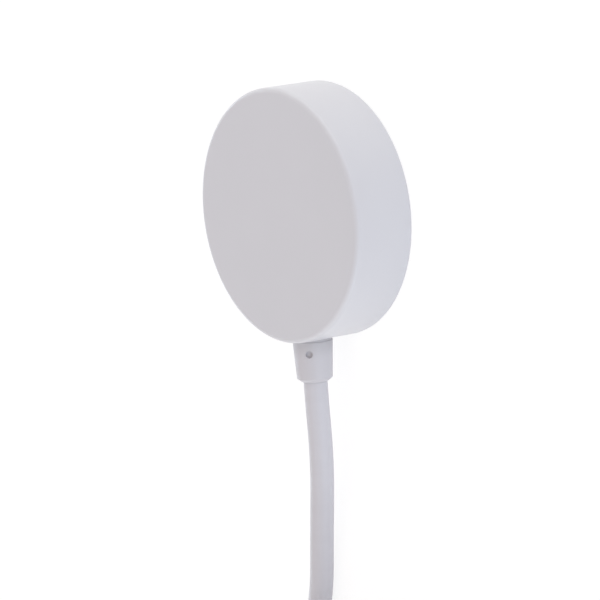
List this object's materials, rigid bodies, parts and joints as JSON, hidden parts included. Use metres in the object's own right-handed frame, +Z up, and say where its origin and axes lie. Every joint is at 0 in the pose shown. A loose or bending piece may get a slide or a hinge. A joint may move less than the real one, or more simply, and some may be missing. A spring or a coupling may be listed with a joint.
{
  "type": "smartwatch charging cable",
  "caption": "Magnetic round charging puck with a flat back and a dished face, a tapered collar, a thin wound cord held by a tie, and a flat plug.",
  "frame": {"origin": "centre of the puck, on the plane of its lip, which it rests on", "axes": "+Z up out of the flat back; the cord leaves the rim towards -Y"},
  "size_m": [0.0385, 0.1461, 0.0122],
  "materials": {
    "white_housing": "satin white moulding",
    "white_face": "glossy white moulding",
    "white_collar": "satin white soft moulding",
    "white_cord": "satin white jacket",
    "tie_fabric": "woven hook and loop strap, pale grey",
    "copper_strip": "enamelled copper strip",
    "ferrite": "dark sintered ferrite",
    "amber_film": "thin amber film",
    "grey_carrier": "matt grey moulding",
    "nickel_plate": "nickel plated magnet",
    "drawn_steel": "drawn steel",
    "board_green": "green solder mask",
    "chip_black": "black moulded package",
    "ceramic_tan": "tan ceramic with tinned ends",
    "lead_red": "red insulation",
    "lead_black": "black insulation",
    "solder": "tin solder",
    "grip_grey": "grey moulding",
    "white_insulator": "matt white moulding",
    "plug_steel": "nickel plated folded steel",
    "gold_contact": "gold plated strip"
  },
  "bodies": {
    "root": {"back_housing": "white_housing", "charging_face": "white_face", "charge_coil": "copper_strip", "ferrite_core": "ferrite", "coil_insulator": "amber_film", "coil_carrier": "grey_carrier", "alignment_magnet": "nickel_plate", "magnet_cup": "drawn_steel", "circuit_board": "board_green", "controller_chip": "chip_black", "driver_chip": "chip_black", "filter_choke": "ferrite", "thermistor": "ceramic_tan", "resonant_capacitors": "ceramic_tan", "filter_capacitors": "ceramic_tan", "supply_lead": "lead_red", "ground_lead": "lead_black", "solder_joints": "solder", "cord_grip": "grip_grey", "strain_relief_collar": "white_collar", "cord": "white_cord", "cord_coil": "white_cord", "cord_tie": "tie_fabric", "cord_tail": "white_cord", "plug_collar": "white_collar", "plug_cover": "white_housing", "plug_inner_mould": "white_insulator", "plug_shell": "plug_steel", "plug_contacts": "gold_contact", "plug_tongue": "white_insulator"}
  },
  "joints": []
}
